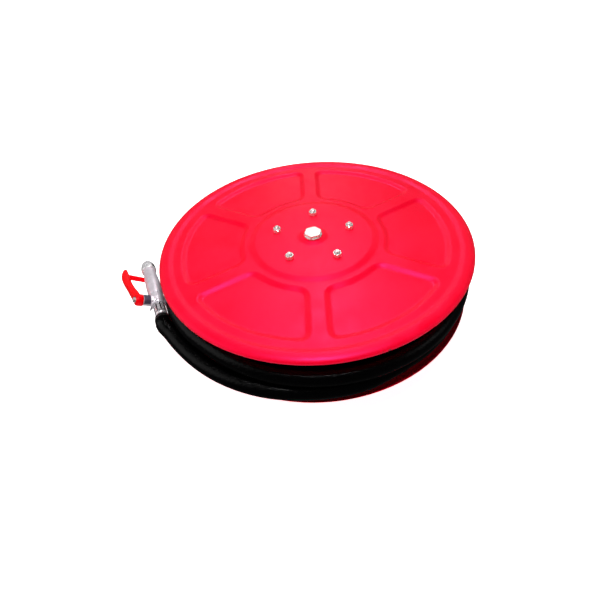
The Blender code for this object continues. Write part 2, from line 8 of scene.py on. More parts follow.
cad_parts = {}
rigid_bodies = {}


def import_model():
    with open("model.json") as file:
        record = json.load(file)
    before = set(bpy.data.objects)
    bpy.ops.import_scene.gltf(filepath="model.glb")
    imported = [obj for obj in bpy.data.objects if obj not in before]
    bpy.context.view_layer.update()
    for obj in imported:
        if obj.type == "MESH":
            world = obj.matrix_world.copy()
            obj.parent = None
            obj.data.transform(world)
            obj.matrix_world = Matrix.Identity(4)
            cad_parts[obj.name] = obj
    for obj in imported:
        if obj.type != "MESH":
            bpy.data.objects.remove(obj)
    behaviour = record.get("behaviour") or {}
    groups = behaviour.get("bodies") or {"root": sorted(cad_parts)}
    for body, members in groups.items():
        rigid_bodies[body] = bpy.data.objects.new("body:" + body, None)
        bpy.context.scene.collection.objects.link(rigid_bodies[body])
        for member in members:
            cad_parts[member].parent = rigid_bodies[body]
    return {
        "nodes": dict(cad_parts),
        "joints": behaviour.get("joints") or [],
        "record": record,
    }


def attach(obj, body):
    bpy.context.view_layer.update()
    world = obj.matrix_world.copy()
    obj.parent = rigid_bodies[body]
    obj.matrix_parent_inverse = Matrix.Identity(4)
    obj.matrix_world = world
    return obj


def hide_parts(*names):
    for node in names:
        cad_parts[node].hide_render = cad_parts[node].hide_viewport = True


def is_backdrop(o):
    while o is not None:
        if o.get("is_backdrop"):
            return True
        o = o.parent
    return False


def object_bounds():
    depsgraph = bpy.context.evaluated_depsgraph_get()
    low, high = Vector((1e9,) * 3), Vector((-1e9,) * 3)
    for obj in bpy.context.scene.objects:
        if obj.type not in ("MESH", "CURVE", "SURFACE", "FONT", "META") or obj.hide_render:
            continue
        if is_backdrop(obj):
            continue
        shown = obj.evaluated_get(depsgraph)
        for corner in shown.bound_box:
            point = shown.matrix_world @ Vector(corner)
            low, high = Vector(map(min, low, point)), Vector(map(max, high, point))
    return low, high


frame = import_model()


def plain(v):
    if hasattr(v, "items"):
        return {k: plain(x) for k, x in v.items()}
    try:
        return [plain(x) for x in v]
    except TypeError:
        return float(v) if not isinstance(v, (str, bool)) else v


for ob in list(bpy.data.objects):       # an empty stage: only the CAD's own objects stay
    if ob.name in ("Cube", "Light", "Camera") and ob.name not in frame["nodes"]:
        bpy.data.objects.remove(ob, do_unlink=True)

CAD_BOX = plain(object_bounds())
MM = 0.001

# ------------------------------------------------------------------ sizes, mm
DISC_R, Z_FRONT, Z_REAR, SHEET = 275.0, 155.0, 47.0, 1.5
BOLT_CIRCLE = 68.6
BOLT_ANGLES = [88.1, 16.1, -55.9, -127.9, 160.1]
HOSE_R = 14.0
ROW_Z = [129.5, 101.0, 72.5]
ROW_R = [231.0, 231.0, 226.5]
HOSE_END, SHANK_END = -52.0, -42.0
LEAD = [
    (50, 260.5, -54), (12, 260.5, -54), (-25, 261, -54), (-60, 263, -54), (-100, 263.5, -52),
    (-130, 264.5, -40), (-140, 267, -35.5), (-150, 266.6, -31), (-158, 262.8, -28.5), (-168, 260.5, -27.3), (-187, 260.5, -27), (-212, 260.5, -35),
    (-245, 260.5, -57), (-278, 257.5, -80), (-305, 256.5, -82.5), (-360, 256.5, -82.5),
    (-416, 255.8, -82.5), (-425, 257.8, -82.5), (-435, 262.4, -82.5), (-445, 265.0, -82.3),
    (-455, 267.2, -82), (-467, 272.3, -81), (-475, 275.3, -79.5), (-485, 279.3, -76),
    (-494, 283.2, -69), (-503, 286.8, -60), (-509, 289, -54),
]
joints = {j["name"]: j for j in frame["joints"]}
PIVOT = Vector(joints["valve_lever"]["pos_m"]) * 1000
B = Vector(joints["valve_lever"]["axis"]).normalized()
A = Vector(joints["spray_tip_twist"]["axis"]).normalized()
N = A.cross(B)
NOZZLE = Matrix(((A.x, B.x, N.x, PIVOT.x), (A.y, B.y, N.y, PIVOT.y), (A.z, B.z, N.z, PIVOT.z), (0, 0, 0, 1)))


# ------------------------------------------------------------------ materials
class Mat:
    """A Principled material with short helpers for its node tree."""

    def __init__(self, name, base, rough, metal=0.0, spec=0.5, tint=None):
        self.m = bpy.data.materials.new(name)
        self.m.use_nodes = True
        self.t = self.m.node_tree
        self.p = self.t.nodes["Principled BSDF"]
        self.p.inputs["Base Color"].default_value = (*base, 1)
        self.p.inputs["Roughness"].default_value = rough
        self.p.inputs["Metallic"].default_value = metal
        self.p.inputs["Specular IOR Level"].default_value = spec
        if tint:
            self.p.inputs["Specular Tint"].default_value = (*tint, 1)
        self.base = base
        self.m.diffuse_color = (*base, 1)
        self.bump_in = None

    def node(self, kind, **values):
        n = self.t.nodes.new(kind)
        for k, v in values.items():
            if k in n.inputs:
                n.inputs[k].default_value = v
            else:
                setattr(n, k, v)
        return n

    def link(self, a, b):
        self.t.links.new(a, b)

    def coords(self, scale=(1, 1, 1), kind="Object"):
        c = self.node("ShaderNodeTexCoord")
        m = self.node("ShaderNodeMapping")
        m.inputs["Scale"].default_value = scale
        self.link(c.outputs[kind], m.inputs["Vector"])
        return m.outputs["Vector"]

    def noise(self, scale, detail=3.0, rough=0.5, stretch=(1, 1, 1), kind="Object", distortion=0.0):
        n = self.node("ShaderNodeTexNoise", Scale=scale, Detail=detail, Roughness=rough, Distortion=distortion)
        self.link(self.coords(stretch, kind), n.inputs["Vector"])
        return n.outputs["Fac"]

    def voronoi(self, scale, stretch=(1, 1, 1), kind="Object", feature="F1"):
        n = self.node("ShaderNodeTexVoronoi", Scale=scale)
        n.feature = feature
        self.link(self.coords(stretch, kind), n.inputs["Vector"])
        return n.outputs["Distance"]

    def spread(self, fac, lo, hi, a=0.0, b=1.0, smooth=True):
        """Map fac from lo..hi to a..b, clamped."""
        n = self.node("ShaderNodeMapRange")
        n.interpolation_type = "SMOOTHSTEP" if smooth else "LINEAR"
        n.inputs["From Min"].default_value = lo
        n.inputs["From Max"].default_value = hi
        n.inputs["To Min"].default_value = a
        n.inputs["To Max"].default_value = b
        self.link(fac, n.inputs["Value"])
        return n.outputs["Result"]

    def math(self, op, x, y=None):
        n = self.node("ShaderNodeMath")
        n.operation = op
        for i, v in enumerate((x, y)):
            if v is None:
                continue
            if isinstance(v, (int, float)):
                n.inputs[i].default_value = v
            else:
                self.link(v, n.inputs[i])
        return n.outputs[0]

    def mix(self, fac, a, b):
        n = self.node("ShaderNodeMix")
        n.data_type = "RGBA"
        ins = [i for i in n.inputs if i.type == "RGBA"]
        for s, v in zip(ins, (a, b)):
            if isinstance(v, tuple):
                s.default_value = (*v, 1)
            else:
                self.link(v, s)
        self.link(fac, n.inputs["Factor"])
        return [o for o in n.outputs if o.type == "RGBA"][0]

    def color(self, out):
        self.link(out, self.p.inputs["Base Color"])

    def rough(self, out):
        self.link(out, self.p.inputs["Roughness"])

    def bump(self, height, distance, strength=1.0):
        n = self.node("ShaderNodeBump")
        n.inputs["Distance"].default_value = distance
        n.inputs["Strength"].default_value = strength
        self.link(height, n.inputs["Height"])
        if self.bump_in is not None:
            self.link(self.bump_in, n.inputs["Normal"])
        self.bump_in = n.outputs["Normal"]
        self.link(self.bump_in, self.p.inputs["Normal"])


def paint(name, base, deep, light, rim_wear=False, spec=0.3, rough=0.34, tint=(1.0, 0.35, 0.95)):
    """Powder coat: orange peel, slow colour drift, fine grain, small scuffs."""
    k = Mat(name, base, rough, spec=spec, tint=tint)
    drift = k.spread(k.noise(7.0, 2.0), 0.35, 0.65)
    grain = k.spread(k.noise(620.0, 2.0, 0.7), 0.38, 0.66)
    col = k.mix(drift, deep, base)
    col = k.mix(k.math("MULTIPLY", grain, 0.7), col, light)
    scuff = k.spread(k.noise(60.0, 6.0, 0.7, (1, 0.15, 1)), 0.60, 0.78)
    if rim_wear:
        c = k.node("ShaderNodeTexCoord")
        s = k.node("ShaderNodeSeparateXYZ")
        k.link(c.outputs["Object"], s.inputs[0])
        rr = k.math("SQRT", k.math("ADD", k.math("MULTIPLY", s.outputs[0], s.outputs[0]),
                                   k.math("MULTIPLY", s.outputs[1], s.outputs[1])))
        edge = k.spread(rr, 0.2735, 0.2748)
        chips = k.math("MULTIPLY", edge, k.spread(k.noise(75.0, 4.0, 0.65), 0.60, 0.66))
        col = k.mix(chips, col, (0.16, 0.02, 0.02))
    k.color(col)
    k.rough(k.spread(k.math("ADD", k.noise(25.0, 4.0), k.math("MULTIPLY", scuff, 0.4)), 0.3, 0.9, rough - 0.05, rough + 0.16))
    k.bump(k.noise(460.0, 2.0, 0.6), 0.00045, 0.55)
    k.bump(k.noise(1500.0, 1.0, 0.5), 0.00008, 0.40)
    return k.m


def metal(name, base, dark, rough, spread=0.12, brushed=(1, 1, 1), grain=900.0, depth=0.00004, blotch=35.0, metallic=1.0):
    k = Mat(name, base, rough, metallic)
    k.color(k.mix(k.spread(k.noise(blotch, 4.0, 0.6), 0.35, 0.7), base, dark))
    k.rough(k.spread(k.noise(grain * 0.4, 4.0, 0.6, brushed), 0.3, 0.7, rough - spread / 2, rough + spread))
    k.bump(k.noise(grain, 3.0, 0.5, brushed), depth, 0.6)
    return k.m


def casting(name, base, dark, rough, metallic, painted_flute_shade, painted_dark_reflection=False):
    """Bright satin casting with painted shade in the grip flutes, on the stem boss face and in a groove line before the
    lip, and an optional painted dark reflection on one side of the tip's collar.
    """
    k = Mat(name, base, rough, metallic)
    geo = k.node("ShaderNodeTexCoord").outputs["Object"]

    def vec(op, u, v):
        n = k.node("ShaderNodeVectorMath")
        n.operation = op
        for sock, w in zip(n.inputs, (u, v)):
            if isinstance(w, Vector):
                sock.default_value = w
            else:
                k.link(w, sock)
        return n

    p = vec("SUBTRACT", geo, PIVOT * MM).outputs["Vector"]
    a = vec("DOT_PRODUCT", p, A).outputs["Value"]
    b = vec("DOT_PRODUCT", p, B).outputs["Value"]
    c = vec("DOT_PRODUCT", p, A.cross(B)).outputs["Value"]
    rho = k.math("SQRT", k.math("ADD", k.math("MULTIPLY", b, b), k.math("MULTIPLY", c, c)))
    col = k.mix(k.spread(k.noise(60.0, 4.0, 0.6), 0.35, 0.7), base, dark)
    if painted_flute_shade:
        # painted shade: the grip flutes are filled with near-black where they sink below the crest radius
        zone = k.math("MULTIPLY", k.spread(a, -0.0335, -0.0325), k.spread(a, -0.0132, -0.0142))
        deep = k.math("MULTIPLY", zone, k.spread(rho, 0.00995, 0.00965))
        col = k.mix(deep, col, (0.012, 0.012, 0.014))
    else:
        # painted shade: the stem boss face is mixed towards a dark blue-grey as if in shade, fading out towards its
        # lower side
        boss = k.math("MULTIPLY", k.spread(b, 0.0128, 0.0140), k.spread(b, 0.0252, 0.0246))
        shade = k.spread(k.math("ADD", c, k.math("MULTIPLY", a, 0.6)), -0.0085, -0.0045)
        col = k.mix(k.math("MULTIPLY", boss, k.math("MULTIPLY", shade, 0.96)), col, (0.055, 0.045, 0.085))
        # painted shade: a dark line in the groove just before the body's end lip
        lip = k.math("MULTIPLY", k.spread(a, -0.0088, -0.0084), k.spread(a, -0.0070, -0.0076))
        lip = k.math("MULTIPLY", lip, k.spread(b, 0.0125, 0.0115))
        col = k.mix(k.math("MULTIPLY", lip, 0.8), col, (0.05, 0.05, 0.06))
    if painted_dark_reflection:
        # painted dark reflection: a near-black crescent on one side of the tip's collar stands in for the dark
        # reflection on its shade side
        side = k.math("ADD", b, k.math("MULTIPLY", k.noise(90.0, 3.0), 0.0016))
        dark_reflection_patch = k.math("MULTIPLY", k.spread(side, -0.0018, -0.0042), k.spread(a, 0.0880, 0.0905))
        col = k.mix(dark_reflection_patch, col, (0.006, 0.006, 0.008))
    k.color(col)
    k.rough(k.spread(k.noise(360.0, 4.0, 0.6), 0.3, 0.7, rough - 0.06, rough + 0.12))
    k.bump(k.noise(900.0, 3.0, 0.5), 0.00007, 0.6)
    return k.m


def rubber(name, base, light, rough, hose=False, spec=0.5):
    k = Mat(name, base, rough, spec=spec)
    dust = k.spread(k.noise(40.0, 5.0, 0.65), 0.45, 0.75)
    k.color(k.mix(k.math("MULTIPLY", dust, 0.6), base, light))
    if hose:
        # cloth-wrap imprint: two crossing sets of fine ribs, then patches where it is worn smooth
        cells = k.voronoi(1.0, (330.0, 560.0, 1.0), "UV")
        weave = k.voronoi(1.0, (900.0, 900.0, 1.0), "UV")
        lump = k.noise(230.0, 3.0, 0.6)
        k.rough(k.spread(k.noise(300.0, 3.0, 0.65), 0.38, 0.62, rough - 0.06, rough + 0.10))
        k.bump(lump, 0.0008, 0.45)
        k.bump(cells, 0.00045, 0.45)
        k.bump(weave, 0.00020, 0.4)
    else:
        k.rough(k.spread(k.noise(120.0, 3.0, 0.6), 0.3, 0.7, rough - 0.08, rough + 0.12))
        k.bump(k.noise(700.0, 3.0, 0.6), 0.00008, 0.5)
    return k.m


def nylon(name):
    k = Mat(name, (0.80, 0.77, 0.68), 0.45, spec=0.45)
    k.color(k.mix(k.spread(k.noise(60.0, 4.0), 0.35, 0.7), (0.80, 0.77, 0.68), (0.70, 0.66, 0.55)))
    k.rough(k.spread(k.noise(300.0, 3.0), 0.3, 0.7, 0.38, 0.55))
    k.bump(k.noise(900.0, 2.0), 0.00005, 0.5)
    return k.m


M = {
    "red_paint": paint("red_powder_coat", (0.70, 0.0003, 0.0130), (0.66, 0.0002, 0.0100), (0.78, 0.0008, 0.0230), True, spec=0.30, rough=0.37, tint=(1.0, 0.16, 1.0)),
    "red_plain": paint("red_powder_coat_plate", (0.70, 0.0003, 0.0130), (0.66, 0.0002, 0.0100), (0.78, 0.0008, 0.0230), spec=0.24, rough=0.40, tint=(1.0, 0.12, 1.0)),
    "lever_red": paint("red_enamel_lever", (0.74, 0.0005, 0.0026), (0.66, 0.0004, 0.0018), (0.84, 0.0010, 0.0040), spec=0.14,
                       rough=0.34, tint=(1.0, 0.2, 0.5)),
    "zinc_steel": metal("bright_zinc", (0.90, 0.90, 0.88), (0.76, 0.75, 0.72), 0.22, 0.12, metallic=0.84),
    "chromed_ball": metal("chromed_brass_ball", (0.86, 0.86, 0.87), (0.80, 0.80, 0.80), 0.08, 0.05),
    "brass": metal("turned_brass", (0.80, 0.58, 0.24), (0.55, 0.36, 0.13), 0.24, 0.16, (1, 1, 7), 700.0),
    "cast_aluminium": metal("cast_aluminium", (0.62, 0.63, 0.65), (0.45, 0.46, 0.48), 0.45, 0.2, depth=0.00012),
    "nozzle_aluminium": casting("polished_cast_aluminium", (0.93, 0.86, 0.93), (0.80, 0.74, 0.81), 0.36, 0.62, False),
    "tail_aluminium": casting("fluted_aluminium", (0.93, 0.89, 0.93), (0.80, 0.77, 0.81), 0.26, 0.75, True),
    "tip_aluminium": casting("bright_turned_aluminium", (0.93, 0.91, 0.93), (0.80, 0.79, 0.81), 0.24, 0.55, False, True),
    "hose_rubber": rubber("wrapped_hose_rubber", (0.0002, 0.0002, 0.0003), (0.0007, 0.0007, 0.0010), 0.17, True, 0.13),
    "cuff_rubber": rubber("moulded_cuff_rubber", (0.002, 0.002, 0.002), (0.008, 0.008, 0.008), 0.35, spec=0.3),
    "seal_rubber": rubber("nitrile_rubber", (0.01, 0.01, 0.01), (0.03, 0.03, 0.03), 0.5),
    "nylon": nylon("natural_nylon"),
}

for sp in frame["record"]["subparts"]:
    ob = frame["nodes"][sp["node"]]
    mat = M[sp["material_slot"]]
    if not ob.material_slots:
        ob.data.materials.append(mat)
    for s in ob.material_slots:
        s.material = mat


# ------------------------------------------------------------------ mesh tools
def boolean(bm_a, bm_b, op="DIFFERENCE", solver="EXACT"):
    obs = []
    for i, bm in enumerate((bm_a, bm_b)):
        bmesh.ops.recalc_face_normals(bm, faces=bm.faces)
        me = bpy.data.meshes.new("tmp%d" % i)
        bm.to_mesh(me)
        bm.free()
        ob = bpy.data.objects.new("tmp%d" % i, me)
        bpy.context.scene.collection.objects.link(ob)
        obs.append(ob)
    mod = obs[0].modifiers.new("cut", "BOOLEAN")
    mod.operation = op
    mod.solver = solver
    mod.object = obs[1]
    return evaluated(obs[0], obs)


def evaluated(ob, trash):
    dg = bpy.context.evaluated_depsgraph_get()
    dg.update()
    me = bpy.data.meshes.new_from_object(ob.evaluated_get(dg))
    out = bmesh.new()
    out.from_mesh(me)
    bpy.data.meshes.remove(me)
    for o in trash:
        old = o.data
        bpy.data.objects.remove(o, do_unlink=True)
        bpy.data.meshes.remove(old)
    return out


def cast(parts, voxel, smooth=4, factor=0.5):
    """Melt overlapping closed pieces into one casting with filleted joins."""
    me = bpy.data.meshes.new("cast")
    joined = bmesh.new()
    for bm in parts:
        bmesh.ops.recalc_face_normals(bm, faces=bm.faces)
        tmp = bpy.data.meshes.new("t")
        bm.to_mesh(tmp)
        bm.free()
        joined.from_mesh(tmp)
        bpy.data.meshes.remove(tmp)
    joined.to_mesh(me)
    joined.free()
    ob = bpy.data.objects.new("cast", me)
    bpy.context.scene.collection.objects.link(ob)
    r = ob.modifiers.new("remesh", "REMESH")
    r.mode = "VOXEL"
    r.voxel_size = voxel
    s = ob.modifiers.new("smooth", "SMOOTH")
    s.factor = factor
    s.iterations = smooth
    return evaluated(ob, [ob])


AXES = {
    "Z": lambda r, s, c, n: (r * c, r * n, s),
    "X": lambda r, s, c, n: (s, r * c, r * n),
    "Y": lambda r, s, c, n: (r * n, s, r * c),
}


def lathe(profile, seg, axis="Z", phase=0.0, shape=None):
    """Turn a closed loop of (radius, station) into a solid; shape(radius, station, angle) may vary the radius."""
    bm = bmesh.new()
    place = AXES[axis]
    rings = []
    for r, s in profile:
        if r < 1e-6:
            rings.append([bm.verts.new(place(0.0, s, 1.0, 0.0))])
        else:
            ring = []
            for k in range(seg):
                t = phase + 2 * math.pi * k / seg
                rr = shape(r, s, t) if shape else r
                ring.append(bm.verts.new(place(rr, s, math.cos(t), math.sin(t))))
            rings.append(ring)
    for i in range(len(rings)):
        a, b = rings[i], rings[(i + 1) % len(rings)]
        if len(a) == 1 and len(b) == 1:
            continue
        for k in range(seg):
            k2 = (k + 1) % seg
            if len(a) == 1:
                bm.faces.new((a[0], b[k], b[k2]))
            elif len(b) == 1:
                bm.faces.new((a[k], b[0], a[k2]))
            else:
                bm.faces.new((a[k], b[k], b[k2], a[k2]))
    bmesh.ops.recalc_face_normals(bm, faces=bm.faces)
    return bm


def fillet(profile, default=0.4, steps=3, radii=None):
    """Round the corners of a closed (radius, station) loop; points on the axis stay sharp."""
    out = []
    n = len(profile)
    for i, p in enumerate(profile):
        r = (radii or {}).get(i, default)
        a, c = Vector(profile[i - 1]), Vector(profile[(i + 1) % n])
        b = Vector(p)
        if p[0] < 1e-6 or r <= 0:
            out.append(tuple(p))
            continue
        u, v = a - b, c - b
        lu, lv = u.length, v.length
        if lu < 1e-6 or lv < 1e-6:
            out.append(tuple(p))
            continue
        u.normalize()
        v.normalize()
        ang = u.angle(v)
        if ang > math.radians(170):
            out.append(tuple(p))
            continue
        t = min(r / math.tan(ang / 2), 0.45 * lu, 0.45 * lv)
        p0, p1 = b + u * t, b + v * t
        for k in range(steps + 1):
            s = k / steps
            q = p0 * (1 - s) ** 2 + b * 2 * s * (1 - s) + p1 * s ** 2
            out.append((q.x, q.y))
    return out


def rod(r, s0, s1, seg, axis="Z", phase=0.0):
    return lathe([(0, s0), (r, s0), (r, s1), (0, s1)], seg, axis, phase)


def moved(bm, matrix):
    bmesh.ops.transform(bm, matrix=matrix, verts=bm.verts)
    return bm


def block(x0, x1, y0, y1, z0, z1):
    bm = bmesh.new()
    bmesh.ops.create_cube(bm, size=1.0)
    for v in bm.verts:
        v.co = Vector(((x0 + x1) / 2 + v.co.x * (x1 - x0), (y0 + y1) / 2 + v.co.y * (y1 - y0),
                       (z0 + z1) / 2 + v.co.z * (z1 - z0)))
    return bm


def merged(*parts):
    out = bmesh.new()
    for bm in parts:
        tmp = bpy.data.meshes.new("t")
        bm.to_mesh(tmp)
        bm.free()
        out.from_mesh(tmp)
        bpy.data.meshes.remove(tmp)
    return out


def axis_matrix(origin, direction):
    z = Vector(direction).normalized()
    q = Vector((0, 0, 1)).rotation_difference(z)
    return Matrix.Translation(Vector(origin)) @ q.to_matrix().to_4x4()


def polar(r, deg, z):
    a = math.radians(deg)
    return Vector((r * math.cos(a), r * math.sin(a), z))


def piece(name, bm, mat, body, replaces=(), sharp=35.0, weld=True, tidy=True):
    """Write a bmesh in millimetres as a shown piece on a body."""
    if tidy:
        bmesh.ops.remove_doubles(bm, verts=bm.verts, dist=1e-4)
    for v in bm.verts:
        v.co *= MM
    bmesh.ops.recalc_face_normals(bm, faces=bm.faces)
    me = bpy.data.meshes.new(name)
    bm.to_mesh(me)
    bm.free()
    me.materials.append(M[mat])
    me.polygons.foreach_set("use_smooth", [True] * len(me.polygons))
    if sharp is not None:
        me.set_sharp_from_angle(angle=math.radians(sharp))
    ob = bpy.data.objects.new(name, me)
    bpy.context.scene.collection.objects.link(ob)
    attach(ob, body)
    if replaces:
        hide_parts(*replaces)
    return ob


def tube(path, radius, seg, side, name, mat, body, replaces=(), tang=None, caps=True, bore=None, swell=None):
    """Round tube along a path, with UVs in metres along and around it. The seam faces the side vector."""
    n = len(path)
    if tang is None:
        tang = [(path[min(i + 1, n - 1)] - path[max(i - 1, 0)]).normalized() for i in range(n)]
    verts, uvs, along = [], [], 0.0
    for i, p in enumerate(path):
        if i:
            along += (p - path[i - 1]).length
        t = tang[i]
        sv = side(p) if callable(side) else side
        u = (sv - t * sv.dot(t)).normalized()
        w = t.cross(u)
        r = radius[i] if isinstance(radius, list) else radius
        for k in range(seg):
            a = 2 * math.pi * k / seg
            rr = r + (swell(along, a) if swell else 0.0)
            verts.append((p + u * (rr * math.cos(a)) + w * (rr * math.sin(a))) * MM)
        uvs.append(along * MM)
    faces, fuv = [], []
    circ = 2 * math.pi * HOSE_R * MM
    for i in range(n - 1):
        for k in range(seg):
            k2 = (k + 1) % seg
            faces.append((i * seg + k, i * seg + k2, (i + 1) * seg + k2, (i + 1) * seg + k))
            v0, v1 = circ * k / seg, circ * (k + 1) / seg
            fuv += [(uvs[i], v0), (uvs[i], v1), (uvs[i + 1], v1), (uvs[i + 1], v0)]
    for i, end in ((0, 0), (n - 1, 1)):
        if not caps:
            break
        ring = [i * seg + k for k in range(seg)]
        base = len(verts)
        t = tang[i] * (-1 if end == 0 else 1)
        c = path[i]
        if bore:
            inner, deep = [], []
            for k in range(seg):
                q = Vector(verts[ring[k]]) / MM - c
                verts.append((c + q.normalized() * bore) * MM)
            for k in range(seg):
                q = Vector(verts[ring[k]]) / MM - c
                verts.append((c + q.normalized() * bore - t * 14) * MM)
            verts.append((c - t * 14) * MM)
            for k in range(seg):
                k2 = (k + 1) % seg
                quads = [(ring[k], ring[k2], base + k2, base + k),
                         (base + k, base + k2, base + seg + k2, base + seg + k)]
                for qd in quads:
                    faces.append(qd if end else qd[::-1])
                    fuv += [(uvs[i], circ * k / seg)] * 4
                tri = (base + seg + k, base + seg + k2, base + 2 * seg)
                faces.append(tri if end else tri[::-1])
                fuv += [(uvs[i], circ * k / seg)] * 3
        else:
            faces.append(tuple(ring) if end else tuple(ring[::-1]))
            fuv += [(uvs[i], 0.0)] * seg
    me = bpy.data.meshes.new(name)
    me.from_pydata([tuple(v) for v in verts], [], faces)
    layer = me.uv_layers.new(name="UVMap")
    layer.data.foreach_set("uv", [c for uv in fuv for c in uv])
    bm = bmesh.new()
    bm.from_mesh(me)
    bmesh.ops.recalc_face_normals(bm, faces=bm.faces)
    bm.to_mesh(me)
    bm.free()
    me.materials.append(M[mat])
    me.polygons.foreach_set("use_smooth", [True] * len(me.polygons))
    me.set_sharp_from_angle(angle=math.radians(45))
    ob = bpy.data.objects.new(name, me)
    bpy.context.scene.collection.objects.link(ob)
    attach(ob, body)
    if replaces:
        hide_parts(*replaces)
    return ob


def smooth01(t):
    t = min(max(t, 0.0), 1.0)
    return t * t * (3 - 2 * t)


# ------------------------------------------------------------------ discs
PANEL_R0, PANEL_R1, SPOKE_HALF, CORNER, SLOPE = 129.0, 232.0, 15.7, 15.0, 12.0


def emboss(r, ang, lip):
    """Height of the pressed sheet's outer face over the rim crest, at radius r and angle ang (degrees)."""
    if r <= 28.0:
        h = 0.3 + lip * smooth01((28.0 - r) / 13.0)
    elif r <= 102.5:
        h = 0.3
    elif r < 117.0:
        h = 0.3 - 3.3 * smooth01((r - 102.5) / 14.5)
    elif r <= 248.0:
        h = -3.0
    elif r <= 260.0:
        h = -3.0 + 3.0 * smooth01((r - 248.0) / 11.5)
    elif r <= 262.0:
        h = 0.0
    else:
        t = min((r - 262.0) / 13.0, 1.0)
        h = -7.0 + 7.0 * math.sqrt(max(0.0, 1 - t * t))
    if 112 < r < 247:
        k = round((ang + 90) / 60.0)
        d = math.radians(ang + 90 - 60 * k)
        off = abs(r * math.sin(d))
        if abs(d) > math.radians(31):
            off = 999
        u = off - SPOKE_HALF
        v = min(r - PANEL_R0, PANEL_R1 - r)
        if u < CORNER and v < CORNER:
            dist = CORNER - math.hypot(CORNER - u, CORNER - v)
        else:
            dist = min(u, v)
        h -= 4.2 * smooth01(dist / SLOPE + 0.5)
    return h


def disc_columns():
    offs = [0, 4, 7.5, 9.6, 11.0, 12.4, 13.6, 14.7, 15.7, 16.7, 17.8, 19.0, 20.4, 21.8, 24.5, 28.5, 33]
    cols = []
    for s in range(6):
        c = -90 + 60 * s
        cols.append(("o", c, 0.0))
        for o in offs[1:]:
            cols.append(("o", c, o))
        for k in range(1, 12):
            cols.append(("m", c, k / 12.0))
        for o in reversed(offs[1:]):
            cols.append(("o", c + 60, -o))
    return cols


def fine_disc(name, node, crest, up, hole_r):
    cols = disc_columns()
    nc = len(cols)
    rows = [hole_r, hole_r + 0.8, 17.5, 19.5, 21.5, 23.5, 25.5, 28, 36, 48, 60, 75, 88, 96, 101, 103, 105, 107, 108.5, 110, 111.5, 113, 115, 117, 120, 122]
    rows += [123.4 + 1.0 * k for k in range(12)] + [136, 138.5, 141.5, 146, 152, 160, 170, 180, 190, 200, 208, 213, 217.5, 221.5, 224.5]
    rows += [226.4 + 1.0 * k for k in range(12)] + [239, 241.5, 244, 247, 249, 250.5, 252, 253.5, 255, 256.5, 258, 260, 262]
    rows += [262 + 13 * math.sin(math.radians(a)) for a in (10, 20, 30, 40, 50, 60, 70, 78, 84, 90)]
    rows = sorted(set(r for r in rows if r >= hole_r))
    lip = 3.3 if up > 0 else 0.0
    verts = []
    lay = 275.0 - 1e-6

    def angle(col, r):
        kind, c, v = col
        if r >= 262.0:
            kk = cols.index(col)
            rr = 262.0
        else:
            rr = r
        ra = max(rr, 123.4)
        if kind == "o":
            return c + math.degrees(math.asin(v / ra))
        lo = c + math.degrees(math.asin(33 / ra))
        hi = c + 60 - math.degrees(math.asin(33 / ra))
        return lo + (hi - lo) * v

    top, bot = [], []
    for r in rows:
        ra, rb = [], []
        for col in cols:
            a = angle(col, r)
            h = emboss(min(r, lay), a, lip)
            t = math.radians(a)
            verts.append((r * math.cos(t), r * math.sin(t), crest + up * h))
            ra.append(len(verts) - 1)
        top.append(ra)
    for r in rows:
        rb = []
        for col in cols:
            a = angle(col, r)
            h = emboss(min(r, lay), a, lip)
            # the rolled rim keeps its sheet thickness square to its face
            if r > 262:
                s = (r - 262.0) / 13.0
                ri = r - 1.3 * s
                hi = h - 1.4 * math.sqrt(max(0.0, 1 - s * s)) - 0.05
            else:
                ri, hi = r, h - 1.45
            t = math.radians(a)
            verts.append((ri * math.cos(t), ri * math.sin(t), crest + up * hi))
            rb.append(len(verts) - 1)
        bot.append(rb)
    faces = []
    for rings in (top, bot):
        for a, b in zip(rings, rings[1:]):
            for k in range(nc):
                faces.append((a[k], a[(k + 1) % nc], b[(k + 1) % nc], b[k]))
    for i in (0, -1):
        a, b = top[i], bot[i]
        for k in range(nc):
            faces.append((a[k], a[(k + 1) % nc], b[(k + 1) % nc], b[k]))
    me = bpy.data.meshes.new("disc")
    me.from_pydata(verts, [], faces)
    bm = bmesh.new()
    bm.from_mesh(me)
    bpy.data.meshes.remove(me)
    bmesh.ops.recalc_face_normals(bm, faces=bm.faces)
    holes = merged(*[moved(rod(4.7, crest - 12, crest + 12, 24), Matrix.Translation(polar(BOLT_CIRCLE, a, 0)))
                     for a in BOLT_ANGLES])
    bm = boolean(bm, holes)
    return piece(name, bm, "red_paint", "drum", (node,), sharp=40)


fine_disc("front_disc_pressing", "front_disc", Z_FRONT, 1, 14.9)
fine_disc("rear_disc_pressing", "rear_disc", Z_REAR, -1, 27.2)


# ------------------------------------------------------------------ fasteners
def hex_solid(af, z0, z1, phase, chamfer_top=True, chamfer_bottom=False, drop=0.9, seg=48, bite=0.0):
    """Hexagon with turned chamfers: a hexagonal prism cut by a cone at its ends."""
    rc = af / 2 / math.cos(math.pi / 6)
    prism = lathe([(0, z0), (rc, z0), (rc, z1), (0, z1)], 6, phase=phase)
    rb = rc + 0.02
    rt = af / 2 + bite * (rc - af / 2)
    prof = [(0, z0)]
    prof += [(rt, z0), (rb, z0 + drop)] if chamfer_bottom else [(rb + 1, z0 - 0.5)]
    prof += [(rb, z1 - drop), (rt, z1)] if chamfer_top else [(rb + 1, z1 + 0.5)]
    prof += [(0, z1)]
    if not chamfer_bottom:
        prof[0] = (0, z0 - 0.5)
    if not chamfer_top:
        prof[-1] = (0, z1 + 0.5)
    return boolean(prism, lathe(prof, seg, phase=0.013), "INTERSECT")


